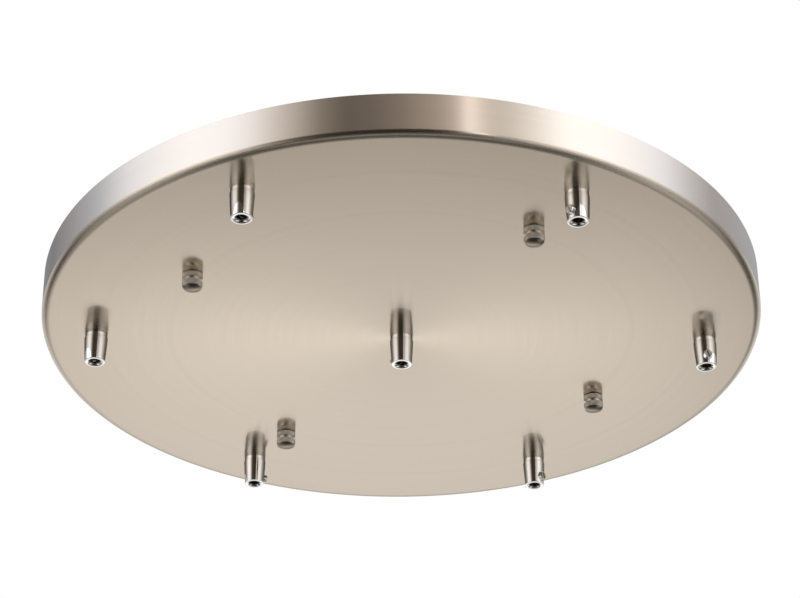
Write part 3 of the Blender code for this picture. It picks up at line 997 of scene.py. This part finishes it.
def bracket_skin():
    """The upper skin of the cross: a flat pad, and four arms that step down from it."""
    arm_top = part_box("mounting_bracket")[0].z + bracket_thickness
    reach = centre_of("stud_1").x
    half = arm_width / 2
    corner = half + inner_corner_radius
    bm = bmesh.new()
    pad, arms = [], []
    for degrees in quarter_turns:
        turn = turn_about(degrees)
        right, left = [bm.verts.new(turn @ Vector((pad_reach, side * half, 0))) for side in (-1, 1)]
        fillet = arc((corner, corner), inner_corner_radius, -90, -180, 12)
        pad += [right, left] + [bm.verts.new(turn @ Vector((x, y, 0))) for x, y in fillet]
        arms.append((turn, right, left))
    bm.faces.new(pad)
    for turn, right, left in arms:
        step_right, step_left = [
            bm.verts.new(turn @ Vector((pad_reach + joggle_run, side * half, arm_top))) for side in (-1, 1)
        ]
        bm.faces.new((right, step_right, step_left, left))
        tip = arc((reach, 0), half, -90, 90, 32)
        round_end = [bm.verts.new(turn @ Vector((x, y, arm_top))) for x, y in tip]
        bm.faces.new([step_right] + round_end + [step_left])
    skin = object_from("mounting_bracket_pressed", bm)
    if skin.data.polygons[0].normal.z < 0:
        skin.data.flip_normals()
    return skin


def make_bracket():
    bracket = bevelled(bracket_skin(), arm_bend_radius, 6, 20.0)
    thicken = bracket.modifiers.new("Thickness", "SOLIDIFY")
    thicken.thickness = bracket_thickness
    thicken.offset = -1
    thicken.use_even_offset = True
    apply_modifiers(bracket)
    low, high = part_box("mounting_bracket")[0].z - MM, MM
    half = box_slot_width / 2
    slot = arc((box_slot_start + half, 0), half, 90, 270, 20)
    slot += arc((box_slot_end - half, 0), half, -90, 90, 20)
    punches = [prism("punch", slot, low, high), prism("punch", [(-x, -y) for x, y in slot], low, high)]
    punches += [punch(stud, stud_radius + hole_gap, low, high, 40) for stud in studs]
    punches.append(punch("ground_screw", ground_screw_radius + thread_gap, low, high, 40))
    combine(bracket, joined("bracket_punches", punches))
    bevelled(bracket, 0.15 * MM, 2, 50.0)
    stand_for(smooth(bracket, 25.0), "bracket_body", "zinc_plate", "mounting_bracket")


def make_ground_screw():
    """Hexagon head with a driver's slot, pointing up into the bracket."""
    low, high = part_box("ground_screw")
    head_top = low.z + ground_head_height
    head = make_hexagon("ground_screw_slotted", high.x - low.x, low.z, head_top, chamfer=0.4 * MM)
    cut_driver_slot(head, low.z, 2 * high.x)
    start = low.z + 0.6 * ground_head_height
    radius = ground_screw_radius
    profile = [(radius, start), (radius, head_top)]
    profile += even_line((radius, head_top), (radius, high.z - 0.3 * MM), 24)
    profile += [(radius - 0.3 * MM, high.z)]
    shank = turned("ground_shank", profile, 40)
    cut_thread(shank, "green_screw", radius, *ground_thread, start=head_top, end=high.z, fade=0.3 * MM)
    combine(head, shank, "UNION")
    head.data.transform(Matrix.Translation((*centre_of("ground_screw").xy, 0)))
    stand_for(smooth(head), "bracket_body", "green_screw", "ground_screw")


# Studio: a light tent, a pale floor far below and white surroundings

floor_drop = 3.4
floor_radius = 30.0
tent_radius = 3.0
tent_top = 55.0  # degrees above level
world_light = 0.8  # what the white surroundings give; seen directly they are full white
lamp_size = 3.0
lamp_power = 60
lamp_height = 2.6


def make_world():
    world = bpy.data.worlds.new("studio")
    bpy.context.scene.world = world
    world.use_nodes = True
    tree = world.node_tree
    rays = tree.nodes.new("ShaderNodeLightPath").outputs
    seen = plus(tree, rays["Is Camera Ray"], rays["Is Glossy Ray"])
    seen = plus(tree, seen, rays["Is Transmission Ray"])
    strength = mapped(tree, seen, world_light, 1.0)
    feed_all(tree, tree.nodes["Background"], {"Color": (1, 1, 1, 1), "Strength": strength})


def make_floor():
    bm = bmesh.new()
    bmesh.ops.create_circle(bm, cap_ends=True, segments=96, radius=floor_radius)
    floor = object_from("studio_floor", bm)
    floor.location.z = -floor_drop
    material, tree, shader = new_finish("studio_floor", metallic=0.0)
    pale = (0.86, 0.86, 0.85, 1)
    feed_all(tree, shader, {"Base Color": pale, "Roughness": 0.9, "Specular IOR Level": 0.1})
    floor.data.materials.append(material)


def make_lamp():
    """A broad lamp overhead for the floor; the metal is lit by the tent."""
    data = bpy.data.lights.new("overhead_lamp", "AREA")
    data.shape = "DISK"
    data.size = lamp_size
    data.energy = lamp_power
    lamp = new_object("overhead_lamp", data)
    lamp.location.z = lamp_height
    lamp.visible_camera = False
    lamp.visible_glossy = False


# What the tent's wall gives off, as (degrees, glow). Round the wall, degrees go from the
# photograph's viewing side, minus to its left. The lower wall is what the face shows, and the
# fittings by way of the face. The upper wall is what the rim shows.
side_glow = [
    (-142, 0.03), (-122, 0.06), (-106, 0.3), (-90, 0.95), (-78, 1.6), (-66, 1.75),
    (-56, 1.75), (-46, 1.35), (-38, 0.6), (-29, 0.18), (-21, 0.07), (8, 0.06), (17, 0.10), (20, 0.75),
    (23, 0.8), (25.5, 0.5), (32, 0.9), (42, 1.4), (54, 1.75), (64, 1.7), (78, 1.3), (90, 0.85),
    (100, 0.55), (112, 0.22), (124, 0.08), (142, 0.03),
]
upper_glow = [
    (-180, 0.34), (-156, 0.24), (-142, 0.24), (-126, 0.40), (-107, 0.70), (-92, 1.24), (-68, 1.6),
    (-54, 1.6), (-44, 1.35), (-36, 0.98), (-30, 0.70), (-24, 0.37), (-16, 0.20), (-7, 0.26), (0, 0.36),
    (12, 0.64), (17, 0.85), (19, 1.3), (20, 1.65), (22, 1.6), (24, 1.1), (26, 0.95), (32, 0.90),
    (40, 1.2), (52, 1.85), (66, 1.75), (87, 1.4), (100, 0.88), (112, 0.53), (131, 0.48), (150, 0.42),
    (180, 0.34),
]
# A panel behind the canopy, from its left edge to its right edge
back_glow = [
    (-38, 0.0), (-32, 0.15), (-26, 0.45), (-20, 0.68), (-15, 0.92), (-9, 1.12), (-3, 1.22), (0, 1.24),
    (3, 1.2), (9, 1.06), (15, 0.78), (20, 0.32), (25, 0.0),
]
# Shares of those glows by height, in degrees above level
back_heights = [
    (-70, 0.0), (-60, 0.03), (-52, 0.1), (-46, 0.18), (-43, 0.25), (-40, 0.37), (-37, 0.49),
    (-34, 0.74), (-31, 0.97), (-28, 0.95), (-25, 0.85), (-22, 0.66), (-18, 0.5), (-12, 0.35),
    (-6, 0.32), (19, 0.32),
]
side_heights = [
    (-57, 0.0), (-52, 0.55), (-46, 0.6), (-43.5, 0.30), (-33, 0.26), (-30.5, 0.6),
    (-28.5, 0.9), (-20, 0.88), (-15, 0.65), (2, 0.65), (11, 1.0),
]
# Paler cloth about level, to the left and right of that panel, for the bend between face and rim;
# a narrow strip of it on the viewing side makes the bright spot on the bend
level_glow = [
    (-180, 0.0), (-165, 0.3), (-150, 0.8), (-122, 0.6), (-106, 0.1), (-90, 0.0), (17.5, 0.0),
    (20, 1.3), (24, 1.3), (26.5, 0.0), (90, 0.0), (106, 0.1), (122, 0.7), (150, 0.9), (165, 0.3),
    (180, 0.0),
]
level_heights = [(-30, 0.0), (-24, 0.05), (-13, 1.0), (15, 1.0), (24, 0.3)]
# Two low cloths, to the left and right, for the bend of the rim between them and the viewer
low_glow = [
    (-160, 0.0), (-148, 0.3), (-126, 0.4), (-94, 0.4), (-78, 0.0), (78, 0.0), (94, 0.5),
    (126, 0.5), (150, 0.45), (162, 0.0),
]
low_heights = [(-66, 0.0), (-52, 1.0), (-40, 1.0), (-33, 0.0)]
brightest = 2.0

# A strip light below, from the left to the right of the photograph: its glow and its half width
strip_glow = 0.5
floor_glow = 0.05
strip_reach = (0.12, 0.7)

# Heights, in degrees, between which one part of the tent gives way to the next
floor_to_sides = (-78.0, -58.0)
sides_to_upper = (22.5, 31.0)

# The cloth's colour: at the sides by height and round the wall, and above round the wall
white = (1.0, 1.0, 1.0)
bluish = (0.95, 1.06, 1.30)
side_tints = [
    (-33, (1.0, 0.98, 0.98)), (-29, (0.95, 1.01, 1.12)),
    (-16, (0.95, 1.01, 1.12)), (-8, (1.0, 1.0, 1.02)),
]
shade_tints = [
    (-44, white), (-26, (1.0, 0.84, 0.68)), (14, (1.0, 0.84, 0.68)), (21, white),
]
upper_tints = [
    (-180, white), (-146, (1.0, 1.0, 1.06)), (-126, (1.0, 1.02, 1.15)), (-107, bluish), (-50, bluish),
    (-32, (1.0, 1.0, 1.07)), (-20, (1.0, 0.93, 0.90)), (12, (1.0, 0.93, 0.90)), (18, (1.0, 0.97, 1.04)),
    (30, (1.0, 0.99, 1.03)), (49, (0.96, 1.04, 1.20)), (90, bluish), (112, (1.0, 1.03, 1.15)),
    (146, (1.0, 1.02, 1.08)), (180, white),
]


def by_degrees(tree, angle, stops, low=-180, high=180, scale=1.0):
    """A ramp over an angle in degrees, of numbers or colours, divided by a scale."""
    place = mapped(tree, angle, 0.0, 1.0, low, high)
    steps = []
    for degrees, value in stops:
        share = tuple(part / scale for part in value) if isinstance(value, tuple) else value / scale
        steps.append(((degrees - low) / (high - low), share))
    return ramp(tree, place, steps)


def panel(tree, angle, glow, height, heights, left=-180, right=180):
    """The glow of one panel, round the wall by an angle and up it by height."""
    round_wall = by_degrees(tree, angle, glow, left, right, scale=brightest)
    return times(tree, round_wall, by_degrees(tree, height, heights, -90, 90))


def tent_material():
    material = bpy.data.materials.new("light_tent")
    material.use_nodes = True
    tree = material.node_tree
    tree.nodes.remove(tree.nodes["Principled BSDF"])
    x, y, z = split(tree, object_point(tree))
    ahead = times(tree, y, -1.0)
    azimuth = math_node(tree, "DEGREES", math_node(tree, "ARCTAN2", x, ahead))
    from_back = math_node(tree, "DEGREES", math_node(tree, "ARCTAN2", x, y))
    height = math_node(tree, "DEGREES", math_node(tree, "ARCSINE", over(tree, z, tent_radius)))
    sides = panel(tree, azimuth, side_glow, height, side_heights)
    sides = vector_node(tree, "SCALE", by_degrees(tree, height, side_tints, -90, 90), scale=sides)
    sides = vector_node(tree, "MULTIPLY", sides, by_degrees(tree, azimuth, shade_tints))
    back = panel(tree, from_back, back_glow, height, back_heights, -60, 60)
    level = panel(tree, azimuth, level_glow, height, level_heights)
    low = panel(tree, azimuth, low_glow, height, low_heights)
    back = plus(tree, back, plus(tree, level, low))
    lower = vector_node(tree, "ADD", sides, join(tree, back, back, back))
    off_strip = math_node(tree, "ABSOLUTE", y)
    strip = mapped(
        tree, off_strip, strip_glow / brightest, floor_glow / brightest, *strip_reach, smooth=True
    )
    floor_share = mapped(tree, height, 1.0, 0.0, *floor_to_sides, smooth=True)
    lower = mixed(tree, floor_share, lower, join(tree, strip, strip, strip))
    upper = by_degrees(tree, azimuth, upper_glow, scale=brightest)
    upper = vector_node(tree, "SCALE", by_degrees(tree, azimuth, upper_tints), scale=upper)
    upper_share = mapped(tree, height, 0.0, 1.0, *sides_to_upper, smooth=True)
    emission = tree.nodes.new("ShaderNodeEmission")
    tree.links.new(mixed(tree, upper_share, lower, upper), emission.inputs["Color"])
    emission.inputs["Strength"].default_value = brightest
    tree.links.new(emission.outputs[0], tree.nodes["Material Output"].inputs["Surface"])
    return material


def make_tent():
    """A bowl of lit cloth around and below the canopy, seen only in reflections."""
    bm = bmesh.new()
    bmesh.ops.create_uvsphere(bm, u_segments=96, v_segments=64, radius=tent_radius)
    limit = tent_radius * math.sin(math.radians(tent_top))
    above = [face for face in bm.faces if face.calc_center_median().z > limit]
    bmesh.ops.delete(bm, geom=above, context="FACES")
    tent = object_from("light_tent", bm)
    tent.rotation_euler.z = view_turn
    tent.data.materials.append(tent_material())
    tent.visible_camera = False
    tent.visible_diffuse = False
    tent.visible_shadow = False


make_camera()
make_pan()
make_grips()
make_studs()
make_bracket()
make_ground_screw()
make_world()
make_floor()
make_lamp()
make_tent()

bpy.context.scene.view_settings.view_transform = "Standard"
